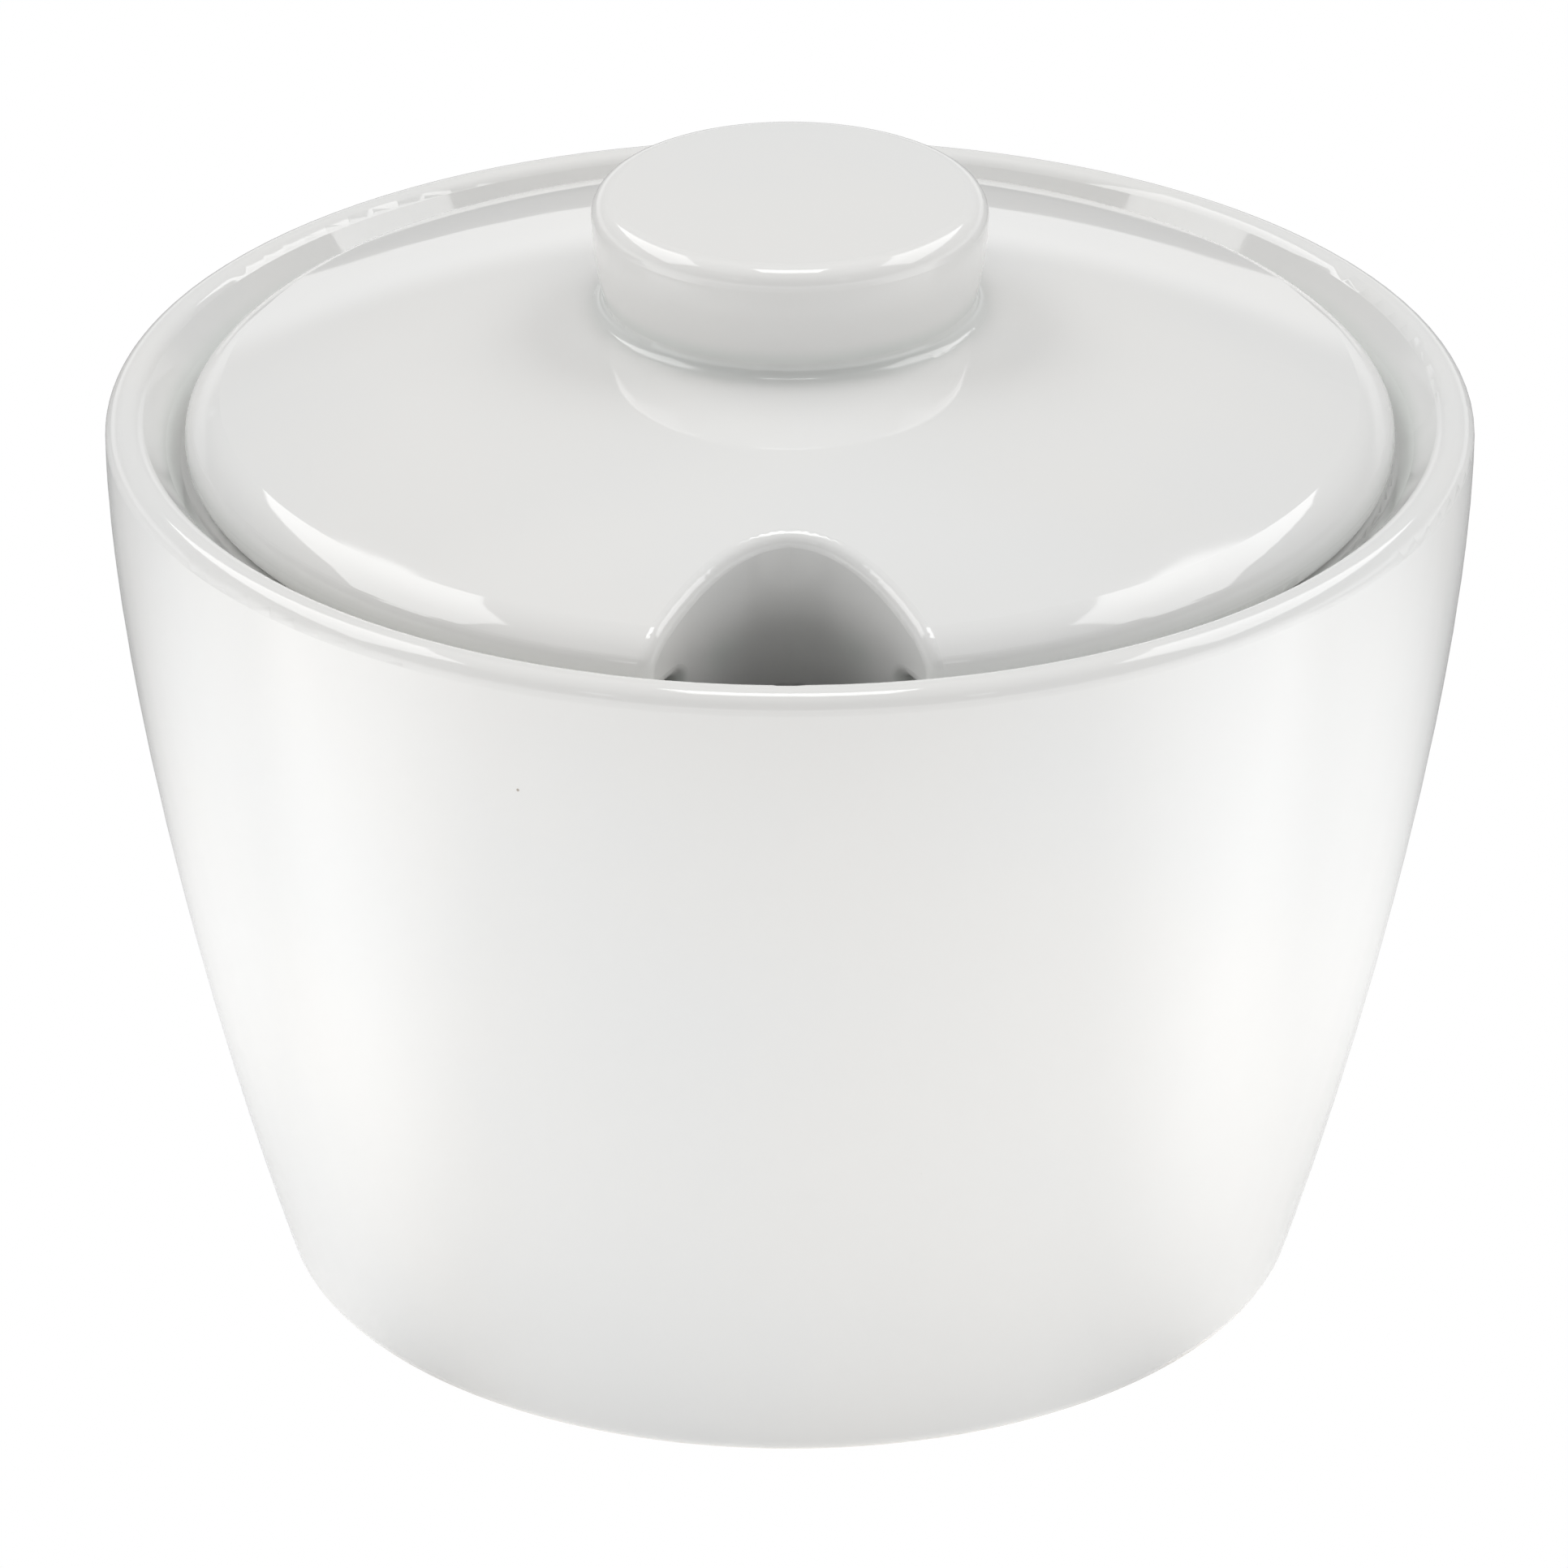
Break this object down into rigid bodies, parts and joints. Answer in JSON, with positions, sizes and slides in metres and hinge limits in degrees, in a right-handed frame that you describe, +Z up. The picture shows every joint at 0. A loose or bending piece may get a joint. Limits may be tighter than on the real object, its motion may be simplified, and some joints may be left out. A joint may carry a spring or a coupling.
{
  "type": "sugar bowl",
  "caption": "Round tapering porcelain sugar bowl with a low domed lid that lifts out of its gallery, a flat round knob and a spoon notch.",
  "frame": {"origin": "on the vertical axis of the bowl, at the plane its foot stands on", "axes": "+Z up along the axis of the bowl; the spoon notch of the lid faces -Y"},
  "size_m": [0.105, 0.105, 0.0879],
  "materials": {
    "body_glaze": "glossy clear glaze over white porcelain, foot ring left unglazed",
    "lid_glaze": "glossy clear glaze over white porcelain",
    "knob_glaze": "glossy clear glaze over white porcelain"
  },
  "bodies": {
    "bowl": {"bowl_body": "body_glaze"},
    "lid": {"lid": "lid_glaze", "lid_knob": "knob_glaze"}
  },
  "joints": [
    {"name": "lid_lift", "type": "slide", "parent": "bowl", "child": "lid", "axis": [0, 0, 1], "range_m": [0, 0.04]}
  ]
}
